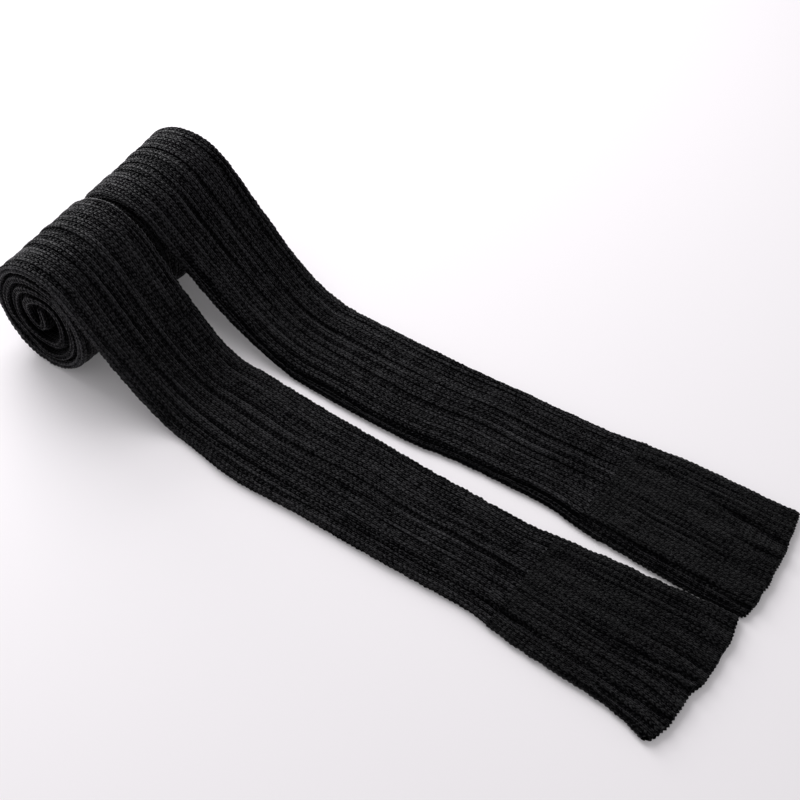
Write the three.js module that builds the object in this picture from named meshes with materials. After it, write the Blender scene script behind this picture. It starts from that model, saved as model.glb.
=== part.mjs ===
import * as THREE from "three";
import { mergeVertices } from "three/addons/utils/BufferGeometryUtils.js";

// A pair of extra long ribbed leg warmers, laid side by side on a flat surface.
// Each is a knitted tube pressed flat. Its lower end, a smooth flared cuff, points to +X,
// and its upper part is rolled up at the other end. Millimetres, Z up.
// The pair is drawn with the near leg's outer edge along y = 0 and the mouths near x = 0,
// and it is centred on the origin at the end.

const degrees = THREE.MathUtils.degToRad;

// Cloth
const LEG_THICKNESS = 8.5; // the flat tube: two ribbed walls and the slit between them
const CUFF_THICKNESS = 7.2; // two smooth walls and the slit, at the seam
const MOUTH_THICKNESS = 6.6; // the same at the open end
const SLIT = 1.3; // space left inside the flat tube
const MOUTH_SLIT = 2.6; // the same where the mouth stands a little open
const RIB_HEIGHT = 1.2;
const RIBS_ACROSS = 9; // ribs on one side of the flat tube
const SEAM_GAP = 0.3;

// Roll
const LAYER_PITCH = LEG_THICKNESS + 0.6; // one layer to the next
const TURN_STEP = 15; // degrees between two sections round the roll
const TURN_END = 330; // degrees from the top, where the outer turn gives way to the hidden ones
const CORE_END = 1200; // degrees from the top, where the innermost layer ends
const CORE_GROOVE = 3.6; // depth of the groove between two layers at the roll's ends
const CORE_RECESS = 1.0; // how much farther in each inner layer ends
const EYE_DEPTH = 9; // depth of the two dark holes in the roll's middle
const TONGUE_HALF_WIDTH = 3.5; // the fold of cloth between the two holes
const PRESSED = 0.6; // how much the roll's own weight flattens its lowest line

// Shape of each flat section. One point in each group of three lies in a groove.
const POINTS_PER_RIB = 3;
const UNDER_POINTS_PER_RIB = 2;
const EDGE_ANGLES = [50, 0, -50];
const INNER_POINTS = 4;
const CUFF_POINTS = 18;
const UNDER_POINTS = 6;

// Steps along the tube
const ARC_STEP = 7.5; // degrees, where the tube still lies on the roll
const FALL_STEPS = 8; // from the roll down to the surface
const FLOOR_STEPS = 9; // from there to the cuff's seam
const CUFF_STEPS = 9; // from the seam to the mouth

// How each leg warmer lies. The roll's radius reaches from its middle to the middle of its
// outermost layer, at the top. Its right end is larger and its left end smaller by the taper's
// share. Sway is how much higher the left edge and lower the right edge lie where the tube comes
// down. In a plan row, x is the distance along the pair, and left and right are where the tube's
// two edges lie. A mouth's values are how far its left end, middle and right end reach past
// x = 0. A fold row gives a crease along the top, from one x to another, at a place across the
// width (-1 is the left edge, 1 the right), its depth and its half width as a share of the
// tube's half width.
const NEAR = {
  name: "near",
  rollX: -530,
  rollRadius: 48.2,
  taper: 0.045,
  sway: 4,
  leavesRoll: 42,
  reachesFloor: -400,
  seam: -126,
  plan: [
    { x: -530, left: -2.2, right: 86 },
    { x: -480, left: -1.5, right: 85 },
    { x: -440, left: 0, right: 84 },
    { x: -403, left: 0, right: 84 },
    { x: -340, left: -6, right: 84 },
    { x: -286, left: -3, right: 85.5 },
    { x: -233, left: -1.5, right: 85 },
    { x: -184, left: 0.5, right: 85.5 },
    { x: -136, left: 2, right: 88.5 },
    { x: -110, left: -1, right: 92.5 },
    { x: -72, left: -2.5, right: 96 },
    { x: -34, left: -4, right: 100.5 },
    { x: -14, left: -7, right: 103.5 },
    { x: 0, left: -11, right: 105 },
  ],
  mouth: { left: 1.5, middle: 10, right: 6 },
  folds: [
    { from: -260, to: -90, across: -0.72, depth: 1.0, half: 0.07 },
    { from: -70, to: 20, across: 0.02, depth: 1.2, half: 0.06 },
    { from: -40, to: 20, across: 0.5, depth: 0.8, half: 0.08 },
  ],
};

const FAR = {
  name: "far",
  rollX: -538,
  rollRadius: 49.2,
  taper: 0.05,
  sway: 4,
  leavesRoll: 44,
  reachesFloor: -368,
  seam: -123,
  plan: [
    { x: -530, left: 97.5, right: 185.5 },
    { x: -480, left: 99.5, right: 185 },
    { x: -429, left: 98, right: 184 },
    { x: -366, left: 96, right: 184 },
    { x: -282, left: 96.5, right: 185.5 },
    { x: -256, left: 98, right: 186.5 },
    { x: -232, left: 102, right: 188.5 },
    { x: -183, left: 106, right: 191.5 },
    { x: -144, left: 107.5, right: 195.5 },
    { x: -118, left: 104.5, right: 199.5 },
    { x: -70, left: 104, right: 204.5 },
    { x: -21, left: 105, right: 207 },
    { x: 0, left: 106.5, right: 209 },
  ],
  mouth: { left: 4.5, middle: 5, right: -2 },
  folds: [
    { from: -420, to: -60, across: -0.8, depth: 1.2, half: 0.07 },
    { from: -110, to: 20, across: -0.72, depth: 1.0, half: 0.06 },
    { from: -60, to: 20, across: 0.55, depth: 1.0, half: 0.08 },
  ],
};

const YARN = { color: 0x19181a, roughness: 0.95, metalness: 0 };
const CUFF_YARN = { color: 0x141315, roughness: 0.95, metalness: 0 };

// Places along the tube

function rollHeight(warmer) {
  const lowest = warmer.rollRadius - LAYER_PITCH / 2 + LEG_THICKNESS / 2;
  return lowest - PRESSED;
}

// Angles run from the roll's top, over its outer side, and on under it. Negative angles lie
// on the other side of the top, where the tube leaves the roll.
function onRoll(warmer, angle) {
  const radius = warmer.rollRadius - (LAYER_PITCH * angle) / 360;
  const normalX = -Math.sin(degrees(angle));
  const normalZ = Math.cos(degrees(angle));
  return {
    x: warmer.rollX + radius * normalX,
    z: rollHeight(warmer) + radius * normalZ,
    normalX,
    normalZ,
    lift: 1,
    sway: 0,
  };
}

function legThickness(warmer, x) {
  const nearSeam = THREE.MathUtils.smoothstep(x, warmer.seam - 60, warmer.seam);
  return THREE.MathUtils.lerp(LEG_THICKNESS, CUFF_THICKNESS, nearSeam);
}

function onFloor(warmer, x) {
  return { x, z: legThickness(warmer, x) / 2, normalX: 0, normalZ: 1, lift: 0, sway: 0 };
}

// None at both ends, most, which is 1, two thirds of the way down
function swayShape(share) {
  return 6.75 * share ** 2 * (1 - share);
}

function onFall(warmer, share) {
  const start = onRoll(warmer, -warmer.leavesRoll);
  const end = onFloor(warmer, warmer.reachesFloor);
  const along = new THREE.Vector2(start.normalZ, -start.normalX);
  const drop = (end.x - start.x) * 0.42;
  const curve = new THREE.CubicBezierCurve(
    new THREE.Vector2(start.x, start.z),
    new THREE.Vector2(start.x, start.z).addScaledVector(along, drop),
    new THREE.Vector2(end.x - drop * 0.9, end.z),
    new THREE.Vector2(end.x, end.z),
  );
  const place = curve.getPoint(share);
  const tangent = curve.getTangent(share);
  return {
    x: place.x,
    z: place.y,
    normalX: -tangent.y,
    normalZ: tangent.x,
    lift: 1 - THREE.MathUtils.smoothstep(share, 0, 1),
    sway: warmer.sway * swayShape(share),
  };
}

function between(first, last, steps) {
  return Array.from({ length: steps + 1 }, (_, i) => first + ((last - first) * i) / steps);
}

// Width and edges at a place along the tube
function edgesAt(warmer, x) {
  const places = warmer.plan.map((row) => row.x);
  const edges = warmer.plan.flatMap((row) => [row.left, row.right]);
  const [left, right] = new THREE.CubicInterpolant(places, edges, 2).evaluate(x);
  return { middle: (left + right) / 2, half: (right - left) / 2 };
}

// Point of the cloth: across is -1 at the left edge and 1 at the right one, and out is the
// distance from the tube's middle, square to the cloth.
function clothPoint(warmer, station, across, out) {
  const { middle, half } = edgesAt(warmer, station.x);
  const taper = 1 + warmer.taper * across * station.lift;
  const x = station.x + out * station.normalX;
  const z = (station.z + out * station.normalZ) * taper - station.sway * across;
  return new THREE.Vector3(
    warmer.rollX + (x - warmer.rollX) * taper,
    middle + across * half,
    Math.max(z, 0),
  );
}

function foldDepth(warmer, x, across) {
  let depth = 0;
  for (const fold of warmer.folds) {
    const along = THREE.MathUtils.smoothstep(x, fold.from, fold.from + 25)
      * (1 - THREE.MathUtils.smoothstep(x, fold.to - 25, fold.to));
    depth += fold.depth * along * Math.exp(-(((across - fold.across) / fold.half) ** 2));
  }
  return depth;
}

// Rings of one section. Each point has its place across, its distance out, and order, which
// runs from 0 to 4 round the ring: top, right edge, underside, left edge.

function flatSide(count, reach, sign, outAt) {
  return between(-reach, reach, count).map((step, i) => ({
    across: step * sign,
    out: outAt(i, step * sign),
    order: (sign > 0 ? 0 : 2) + (step / reach + 1) / 2,
  }));
}

function roundEdge(reach, halfThickness, sign) {
  return EDGE_ANGLES.map((angle, i) => ({
    across: sign * (reach + (1 - reach) * Math.cos(degrees(angle))),
    out: sign * halfThickness * Math.sin(degrees(angle)),
    order: (sign > 0 ? 1 : 3) + (i + 1) / (EDGE_ANGLES.length + 1),
  }));
}

function ribbedRing(warmer, station, thickness, ribHeight, underRib) {
  const halfThickness = thickness / 2;
  const reach = 1 - halfThickness / edgesAt(warmer, station.x).half;
  const topOut = (i, across) => {
    const groove = i % POINTS_PER_RIB === 0 ? ribHeight : 0;
    return halfThickness - groove - foldDepth(warmer, station.x, across);
  };
  const plainUnder = underRib === undefined;
  const underCount = plainUnder ? UNDER_POINTS : RIBS_ACROSS * UNDER_POINTS_PER_RIB;
  const underOut = (i) => {
    const groove = !plainUnder && i % UNDER_POINTS_PER_RIB === 0 ? underRib : 0;
    return groove - halfThickness;
  };
  return [
    ...flatSide(RIBS_ACROSS * POINTS_PER_RIB, reach, 1, topOut),
    ...roundEdge(reach, halfThickness, 1),
    ...flatSide(underCount, reach, -1, underOut),
    ...roundEdge(reach, halfThickness, -1),
  ];
}

function smoothRing(warmer, station, thickness) {
  const halfThickness = thickness / 2;
  const reach = 1 - halfThickness / edgesAt(warmer, station.x).half;
  return [
    ...flatSide(CUFF_POINTS, reach, 1, (i, across) => (
      halfThickness - foldDepth(warmer, station.x, across)
    )),
    ...roundEdge(reach, halfThickness, 1),
    ...flatSide(UNDER_POINTS, reach, -1, () => -halfThickness),
    ...roundEdge(reach, halfThickness, -1),
  ];
}

function innerRing(warmer, station, thickness, slit) {
  const { half } = edgesAt(warmer, station.x);
  const reach = 1 - thickness / half;
  const tip = 1 - (thickness * 0.42) / half;
  return [
    ...flatSide(INNER_POINTS, reach, 1, (i, across) => (
      slit / 2 - Math.min(foldDepth(warmer, station.x, across), slit / 3)
    )),
    { across: tip, out: 0, order: 1.5 },
    ...flatSide(INNER_POINTS, reach, -1, () => -slit / 2),
    { across: -tip, out: 0, order: 3.5 },
  ];
}

// Closed solid from triangles given as triples of points
function solidFrom(triangles) {
  const positions = new Float32Array(triangles.length * 9);
  triangles.flat().forEach((point, i) => point.toArray(positions, i * 3));
  const geometry = new THREE.BufferGeometry();
  geometry.setAttribute("position", new THREE.BufferAttribute(positions, 3));
  const merged = mergeVertices(geometry, 0.001);
  merged.computeVertexNormals();
  return merged;
}

function quad(triangles, a, b, c, d) {
  triangles.push([a, b, c], [a, c, d]);
}

// Skin between two rings of the same kind, one section to the next
function addSkin(triangles, ring, next) {
  ring.forEach((point, i) => {
    const j = (i + 1) % ring.length;
    quad(triangles, point, next[i], next[j], ring[j]);
  });
}

// End of the cloth, between the outer and the inner ring of one section
function addRim(triangles, outer, inner) {
  let i = 0;
  let j = 0;
  const orderAt = (ring, k) => (k < ring.length ? ring[k].order : 4 + ring[k - ring.length].order);
  const pointAt = (ring, k) => ring[k % ring.length].point;
  while (i < outer.length || j < inner.length) {
    const stepOuter = j >= inner.length
      || (i < outer.length && orderAt(outer, i + 1) <= orderAt(inner, j + 1));
    if (stepOuter) {
      triangles.push([pointAt(outer, i), pointAt(outer, i + 1), pointAt(inner, j)]);
      i += 1;
    } else {
      triangles.push([pointAt(outer, i), pointAt(inner, j + 1), pointAt(inner, j)]);
      j += 1;
    }
  }
}

// Tube through sections, each with an outer and an inner ring of placed points
function tubeSolid(sections) {
  const triangles = [];
  const points = (ring) => ring.map((place) => place.point);
  for (let i = 0; i + 1 < sections.length; i += 1) {
    addSkin(triangles, points(sections[i].outer), points(sections[i + 1].outer));
    addSkin(triangles, points(sections[i + 1].inner), points(sections[i].inner));
  }
  const first = sections[0];
  const last = sections[sections.length - 1];
  addRim(triangles, first.outer, first.inner);
  const closing = [];
  addRim(closing, last.outer, last.inner);
  triangles.push(...closing.map(([a, b, c]) => [a, c, b]));
  return solidFrom(triangles);
}

function placeRing(warmer, station, ring, shift = () => 0) {
  return ring.map((place) => {
    const point = clothPoint(warmer, station, place.across, place.out);
    point.x += shift(place.across);
    return { ...place, point };
  });
}

// The pieces

// Ribbed tube from the roll's top, down to the surface, to the cuff's seam
function legSolid(warmer) {
  const arcSteps = Math.floor(warmer.leavesRoll / ARC_STEP);
  const onTop = between(0, -arcSteps * ARC_STEP, arcSteps).map((angle) => onRoll(warmer, angle));
  const falling = between(0, 1, FALL_STEPS).map((share) => onFall(warmer, share));
  const flat = between(warmer.reachesFloor, warmer.seam - SEAM_GAP / 2, FLOOR_STEPS)
    .slice(1)
    .map((x) => onFloor(warmer, x));
  const sections = [...onTop, ...falling, ...flat].map((station) => {
    const thickness = legThickness(warmer, station.x);
    const ribHeight = RIB_HEIGHT * (1 - THREE.MathUtils.smoothstep(
      station.x, warmer.seam - 20, warmer.seam + 5));
    const underRib = RIB_HEIGHT * THREE.MathUtils.smoothstep(station.lift, 0, 0.3);
    const outer = ribbedRing(warmer, station, thickness, ribHeight, underRib);
    const inner = innerRing(warmer, station, thickness, SLIT);
    return {
      outer: placeRing(warmer, station, outer),
      inner: placeRing(warmer, station, inner),
    };
  });
  return tubeSolid(sections);
}

// Ribbed tube once round the roll, from its top, under it and up again
function turnSolid(warmer) {
  const gapAngle = THREE.MathUtils.radToDeg(SEAM_GAP / warmer.rollRadius);
  const steps = TURN_END / TURN_STEP;
  const angles = between(0, TURN_END, steps);
  angles[0] = gapAngle;
  angles[steps] -= 4 * gapAngle;
  const sections = angles.reverse().map((angle) => {
    const station = onRoll(warmer, angle);
    const outer = ribbedRing(warmer, station, LEG_THICKNESS, RIB_HEIGHT);
    const inner = innerRing(warmer, station, LEG_THICKNESS, SLIT);
    return {
      outer: placeRing(warmer, station, outer),
      inner: placeRing(warmer, station, inner),
    };
  });
  return tubeSolid(sections);
}

// Smooth flared end with its open mouth
function cuffSolid(warmer) {
  const { left, middle, right } = warmer.mouth;
  const sections = between(0, 1, CUFF_STEPS).map((share) => {
    const x = THREE.MathUtils.lerp(warmer.seam + SEAM_GAP / 2, 0, share);
    const thickness = THREE.MathUtils.lerp(CUFF_THICKNESS, MOUTH_THICKNESS, share);
    const station = { x, z: thickness / 2, normalX: 0, normalZ: 1, lift: 0, sway: 0 };
    const slit = THREE.MathUtils.lerp(SLIT, MOUTH_SLIT, share ** 3);
    const bow = (across) => share ** 2 * (
      middle + ((right - left) / 2) * across + ((right + left) / 2 - middle) * across ** 2
    );
    return {
      outer: placeRing(warmer, station, smoothRing(warmer, station, thickness), bow),
      inner: placeRing(warmer, station, innerRing(warmer, station, thickness, slit), bow),
    };
  });
  return tubeSolid(sections);
}

// The hidden turns in one solid. Its ends show the spiral of the layers' folded edges.
function coreSolid(warmer) {
  const perTurn = 360 / TURN_STEP;
  const steps = (CORE_END - TURN_END) / TURN_STEP;
  const profile = [CORE_GROOVE, 0.7, 0, 0.7, CORE_GROOVE];
  const bands = profile.length - 1;
  const { half } = edgesAt(warmer, onRoll(warmer, 0).x);

  const corePoint = (side, step, band) => {
    const station = onRoll(warmer, TURN_END + step * TURN_STEP);
    const out = LAYER_PITCH * (0.5 - band / bands);
    const recess = profile[band] + (CORE_RECESS * step) / perTurn;
    return clothPoint(warmer, station, side * (1 - recess / half), out);
  };
  // The seam between two turns is one line, so the outer of its two names is used
  const seamPoint = (side, step, band) => (
    band === bands && step + perTurn <= steps
      ? corePoint(side, step + perTurn, 0)
      : corePoint(side, step, band)
  );

  const outerLoop = (side) => [
    ...between(0, perTurn, perTurn).map((step) => seamPoint(side, step, 0)),
    ...between(bands - 1, 1, bands - 2).map((band) => seamPoint(side, 0, band)),
  ];
  const innerLoop = (side) => [
    ...between(steps - perTurn, steps, perTurn).map((step) => seamPoint(side, step, bands)),
    ...between(bands - 1, 1, bands - 2).map((band) => seamPoint(side, steps, band)),
  ];

  const triangles = [];
  for (const side of [-1, 1]) {
    const face = [];
    for (let step = 0; step < steps; step += 1) {
      for (let band = 0; band < bands; band += 1) {
        quad(
          face,
          seamPoint(side, step, band),
          seamPoint(side, step + 1, band),
          seamPoint(side, step + 1, band + 1),
          seamPoint(side, step, band + 1),
        );
      }
    }
    addEye(face, innerLoop(side), side);
    triangles.push(...(side < 0 ? face : face.map(([a, b, c]) => [a, c, b])));
  }
  addSkin(triangles, outerLoop(-1), outerLoop(1));
  return solidFrom(triangles);
}

// Middle of the roll's end: two holes with a fold of cloth between them
function addEye(triangles, rim, side) {
  const middle = rim.reduce((sum, point) => sum.add(point), new THREE.Vector3())
    .divideScalar(rim.length);
  const shrink = (share) => rim.map((point) => {
    const place = point.clone().sub(middle).multiplyScalar(share);
    const fromFold = Math.abs(place.x + place.z * 0.25) / TONGUE_HALF_WIDTH;
    const depth = EYE_DEPTH * (1 - share ** 4) * THREE.MathUtils.smoothstep(fromFold, 0.5, 2.2);
    place.y -= side * depth;
    return place.add(middle);
  });
  const rings = [rim, ...[0.8, 0.6, 0.4, 0.2].map(shrink)];
  const centre = middle.clone();
  for (let i = 0; i + 1 < rings.length; i += 1) {
    rings[i].forEach((point, j) => {
      const next = (j + 1) % rim.length;
      quad(triangles, point, rings[i][next], rings[i + 1][next], rings[i + 1][j]);
    });
  }
  const last = rings[rings.length - 1];
  last.forEach((point, j) => triangles.push([point, last[(j + 1) % rim.length], centre]));
}

function meshOf(name, geometry, yarn) {
  const mesh = new THREE.Mesh(geometry, new THREE.MeshStandardMaterial(yarn));
  mesh.name = name;
  return mesh;
}

const pair = new THREE.Group();
for (const warmer of [NEAR, FAR]) {
  pair.add(meshOf(`${warmer.name}_cuff`, cuffSolid(warmer), CUFF_YARN));
  pair.add(meshOf(`${warmer.name}_leg`, legSolid(warmer), YARN));
  pair.add(meshOf(`${warmer.name}_outer_turn`, turnSolid(warmer), YARN));
  pair.add(meshOf(`${warmer.name}_roll_core`, coreSolid(warmer), YARN));
}

const extent = new THREE.Box3().setFromObject(pair);
const centre = extent.getCenter(new THREE.Vector3());
pair.position.set(-centre.x, -centre.y, -extent.min.z);

export default pair;
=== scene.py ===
"""A pair of extra long ribbed leg warmers, partly rolled up, on a pale surface.

Each leg warmer is one knitted tube pressed flat. Its lower end is a smooth flared cuff, and its
upper part is rolled up. Sizes in the tables are in millimetres, in the work frame in which the
near leg warmer's outer edge lies along y = 0 and the mouths lie near x = 0.
"""

import math

import bpy
import numpy as np
from mathutils import Matrix


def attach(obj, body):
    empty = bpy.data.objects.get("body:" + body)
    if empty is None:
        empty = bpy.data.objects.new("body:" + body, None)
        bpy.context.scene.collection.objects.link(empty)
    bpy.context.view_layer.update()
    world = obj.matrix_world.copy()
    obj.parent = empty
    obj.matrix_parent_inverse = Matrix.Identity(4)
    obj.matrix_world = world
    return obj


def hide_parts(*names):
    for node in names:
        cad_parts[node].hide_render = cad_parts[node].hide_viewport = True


bl_info = {
    "name": "Ribbed leg warmers",
    "version": (1, 0, 0),
    "blender": (4, 5, 0),
    "location": "3D View > Sidebar > Leg warmers",
    "description": "Builds a pair of rolled, ribbed leg warmers on a pale surface",
    "category": "Object",
}

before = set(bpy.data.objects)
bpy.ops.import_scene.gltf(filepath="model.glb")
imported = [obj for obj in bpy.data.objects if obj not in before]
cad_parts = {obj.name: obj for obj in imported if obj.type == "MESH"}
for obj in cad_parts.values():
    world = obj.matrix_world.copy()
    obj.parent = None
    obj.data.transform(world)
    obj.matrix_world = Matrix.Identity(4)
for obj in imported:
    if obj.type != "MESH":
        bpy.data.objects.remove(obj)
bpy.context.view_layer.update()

MM = 0.001
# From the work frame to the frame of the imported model, in millimetres
SHIFT = np.array([290.559, -99.0, 0.0])

# Cloth. The thicknesses are of the whole flat tube, two walls and the slit between them.
CUFF_THICKNESS = 7.2
MOUTH_THICKNESS = 6.6
SLIT = 1.3
MOUTH_SLIT = 2.6
SEAM_BLEND = 60  # the length over which the leg thins to the cuff's thickness
RIBS_ROUND = 19
WALES_PER_RIB = 3
CUFF_WALES = 78
RIB_START = -0.25  # puts a groove along the folded edge that shows on the roll's near end
SLANT = 0.55  # how many courses a leg of a V climbs
LEG_CREST = 0.4  # the highest line of a leg, from the wale's middle, 0, to its edge, 1
LEG_HALF = 0.57
COURSE_SHARE = 0.48  # how much of the relief lies between one V and the next along a wale

# Mesh. Columns are counted for each wale.
ROWS_PER_COURSE = 3
CUFF_ROWS_PER_COURSE = 5
FINE_COLUMNS = 6
PLAIN_COLUMNS = 2
EDGE_COLUMNS = 5  # on the folded edges of the rolled layers
EDGE_HALF = 4  # wales to each side of a folded edge that are fine in the rolled layers
LEG_FINE_HALF = 19  # wales to each side of the top's middle that are fine
CUFF_FINE_HALF = 24
INSIDE_ROWS = 6  # rows and columns of the outer skin for each of the inner skin
INSIDE_COLUMNS = 3
CORE_STEPS = 60
FALL_STEPS = 90
FLOOR_STEPS = 80
SPIRAL_STEP = 1.5  # degrees

# Roll. Angles are in degrees inward from the roll's top.
LAYER_GAP = 0.6
TURN_END = 330
SPIRAL_END = 1170
CORE_SWELL = 3.0  # the cloth near the roll's middle isn't pressed as flat
SWELL_ANGLES = (780, 1080)  # between which the cloth thickens by that much
CORE_RECESS = 1.0  # how far the inner layers stand back, for each CORE_RECESS_RUN of cloth
CORE_RECESS_RUN = 190
CORE_GROOVE = 0.9  # between the two lines that run along each layer's folded edge
PRESSED = 0.6  # how far the roll is lowered, which flattens its underside on the surface

CREASE_PAINTED_SHADE = -0.25  # painted shade: the yarn is painted this much darker for each mm of a crease's depth
EDGE_PAINTED_HIGHLIGHT = 0.9  # painted highlight: how much lighter the two lines of stitches along a folded edge are painted

# Camera, in metres, millimetres and degrees
CAMERA_PLACE = (0.42329, -0.54129, 0.78273)
CAMERA_YAW = 126.61
CAMERA_PITCH = 47.67
CAMERA_LENS = 63.06
CAMERA_SENSOR = 36.0

# How each leg warmer lies. Left is the side of smaller y.
# - The roll's radius reaches from its middle to the middle of its outermost layer. Taper is the
#   share by which the roll is larger at its right edge than in its middle.
# - The cloth leaves the roll at an angle past the top, in degrees, and reaches the floor and the
#   cuff's seam at places along x. Sway is how much higher, at most, the left edge of the falling
#   cloth lies than its middle.
# - A plan row gives the tube's left and right edge, in y, at an x.
# - The mouth row says how far its edge reaches out at its left end, middle and right end. A bulge
#   in it says where across, how wide and how far. The corners are drawn back, left and right.
# - A crease row gives a straight furrow in plan, from x and y to x and y, with its depth and half
#   width, or a ridge where its depth is below zero. The yarn of a furrow is also painted darker
#   by its depth, painted shade, and that of a ridge lighter, a painted highlight.
NEAR = {
    "name": "near",
    "roll_x": -531.4, "roll_radius": 48.8, "taper": 0.045, "sway": 4,
    "leaves_roll": 42, "reaches_floor": -400, "seam": -126,
    "plan": [
        (-530, -2.2, 86), (-480, -1.5, 85), (-440, 0, 86.5), (-403, 0, 88), (-340, -6, 86),
        (-286, -3, 85.5), (-233, -1.5, 85), (-184, 0.5, 85.5), (-136, 2, 88.5),
        (-110, -1, 92.5), (-72, -2.5, 97), (-34, -4, 101.8), (-14, -7, 104.3), (0, -11, 105.6),
    ],
    "mouth": (1.5, 10, 3.6),
    "bulges": [(-0.2, 0.32, -3.6)],
    "corners": (5.0, 0.3),
    "creases": [
        (-400, 9, -250, 9, 1.0, 2.5), (-250, 10, -95, 14, 2.0, 2.6),
        (-120, 13, 4, 10, 2.0, 2.6), (-100, 24, -10, 22, 0.9, 2.2),
        (-84, 36.4, -50, 38, 1.3, 2.2), (-50, 38, 4, 44.5, 1.6, 2.2),
        (-59, 32, 6, 34.5, 1.6, 2.4), (-42, 35.5, 6, 39.5, -0.8, 2.4), (-60, 54, 8, 56, 0.9, 2.6),
        (-50, 4, 2, -2, 1.3, 2.2),
        (-30, 74, 8, 74, 1.4, 3.0), (-80, 64, -20, 63, 0.7, 3.0), (-40, 88, 8, 92, 1.0, 2.6),
    ],
    "seed": 11,
}

FAR = {
    "name": "far",
    "roll_x": -539.4, "roll_radius": 49.6, "taper": 0.05, "sway": 4,
    "leaves_roll": 44, "reaches_floor": -368, "seam": -123,
    "plan": [
        (-530, 97.5, 188), (-480, 99.5, 187), (-429, 98, 184.5), (-366, 96, 183.2),
        (-282, 96.5, 185.5), (-256, 98, 186.5), (-232, 102, 188.5), (-183, 106, 191.5),
        (-144, 107.5, 195.5), (-118, 104.5, 199.5), (-70, 103.6, 204.5), (-21, 104, 207),
        (0, 106.2, 209),
    ],
    "mouth": (4.5, 5, -2),
    "bulges": [(-0.68, 0.2, 3.4), (-0.1, 0.25, 1.6)],
    "corners": (1.4, 2.0),
    "creases": [
        (-480, 102, -400, 99.5, 3.0, 6.0), (-400, 99.5, -290, 99.5, 3.0, 6.0),
        (-290, 99.5, -240, 103.5, 3.0, 6.0), (-240, 103.5, -183, 108.5, 3.0, 6.0),
        (-183, 108.5, -144, 110, 3.0, 6.0), (-144, 110, -110, 107.5, 3.0, 6.0),
        (-110, 107.5, 0, 107.5, 2.2, 4.5),
        (-110, 115.5, 6, 114.5, 2.6, 2.4),
        (-52, 179, 4, 176, 1.9, 2.8), (-32, 168.5, 4, 168, -0.9, 3.5),
        (-26, 160, 6, 160, 1.3, 3.5), (-90, 140, 0, 141, 0.6, 3.0),
    ],
    "seed": 23,
}


def smoothstep(value, low, high):
    share = np.clip((value - low) / (high - low), 0.0, 1.0)
    return share * share * (3 - 2 * share)


def mix(a, b, share):
    return a + (b - a) * share


# Places along the tube. A station is x, z, the direction square to the cloth in x and z, how much
# of the roll's taper it has, how much higher its left edge lies, and the tube's thickness there.

def roll_height(warmer):
    """Height of the roll's middle above the surface."""
    return warmer["roll_radius"] - LAYER_GAP / 2 - PRESSED


def on_roll(warmer, angle, thickness):
    swell = CORE_SWELL * smoothstep(angle, *SWELL_ANGLES)
    radius = warmer["roll_radius"] - (thickness + LAYER_GAP) * angle / 360 - swell / 2
    normal = np.stack([-np.sin(np.radians(angle)), np.cos(np.radians(angle))], -1)
    place = np.stack([
        warmer["roll_x"] + radius * normal[:, 0],
        roll_height(warmer) + radius * normal[:, 1],
    ], -1)
    one = np.ones(len(angle))
    return np.column_stack([place, normal, one, 0 * one, thickness + swell])


def bezier(points, share):
    a, b, c, d = [np.array(p, float) for p in points]
    t = share[:, None]
    place = a * (1 - t) ** 3 + 3 * b * t * (1 - t) ** 2 + 3 * c * t ** 2 * (1 - t) + d * t ** 3
    slope = 3 * (b - a) * (1 - t) ** 2 + 6 * (c - b) * t * (1 - t) + 3 * (d - c) * t ** 2
    return place, slope / np.linalg.norm(slope, axis=1)[:, None]


def leg_thickness(warmer, x, thickness):
    share = smoothstep(x, warmer["seam"] - SEAM_BLEND, warmer["seam"])
    return mix(thickness, CUFF_THICKNESS, share)


def on_floor(warmer, x, thickness):
    deep = leg_thickness(warmer, x, thickness)
    none = np.zeros(len(x))
    return np.column_stack([x, deep / 2, none, none + 1, none, none, deep])


def on_fall(warmer, share, thickness):
    start = on_roll(warmer, np.array([-float(warmer["leaves_roll"])]), thickness)[0]
    end = on_floor(warmer, np.array([float(warmer["reaches_floor"])]), thickness)[0]
    drop = (end[0] - start[0]) * 0.42
    place, slope = bezier([
        start[:2],
        start[:2] + drop * np.array([start[3], -start[2]]),
        (end[0] - drop * 0.9, end[1]),
        end[:2],
    ], share)
    lift = 1 - smoothstep(share, 0, 1)
    sway = warmer["sway"] * 6.75 * share ** 2 * (1 - share)
    deep = np.full(len(share), thickness)
    return np.column_stack([place, -slope[:, 1], slope[:, 0], lift, sway, deep])


def in_core(warmer, share, thickness):
    """The cloth's end, which turns back and crosses the roll's middle."""
    start = on_roll(warmer, np.array([float(SPIRAL_END)]), thickness)[0]
    middle = np.array([warmer["roll_x"], roll_height(warmer)])
    place, slope = bezier([
        start[:2],
        start[:2] + (0.5, -20),
        middle + (3.5, -20.5),
        middle + (-2.0, 9.0),
    ], share)
    one = np.ones(len(share))
    deep = (thickness + CORE_SWELL) * one
    return np.column_stack([place, slope[:, 1], -slope[:, 0], one, 0 * one, deep])


def roll_angles(warmer):
    return np.arange(SPIRAL_END, -warmer["leaves_roll"], -SPIRAL_STEP)


def path_of(warmer, thickness):
    """Stations close together, from the cloth's end in the roll to the cuff's seam, and the
    distance of each along the cloth from the roll's top."""
    floor_places = np.linspace(warmer["reaches_floor"], warmer["seam"], FLOOR_STEPS)
    parts = [
        in_core(warmer, np.linspace(1, 0, CORE_STEPS), thickness)[:-1],
        on_roll(warmer, roll_angles(warmer), thickness),
        on_fall(warmer, np.linspace(0, 1, FALL_STEPS), thickness),
        on_floor(warmer, floor_places, thickness)[1:],
    ]
    stations = np.vstack(parts)
    steps = np.linalg.norm(np.diff(stations[:, :2], axis=0), axis=1)
    along = np.concatenate([[0], np.cumsum(steps)])
    top = len(parts[0]) + int(round(SPIRAL_END / SPIRAL_STEP))
    return stations, along - along[top]


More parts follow.
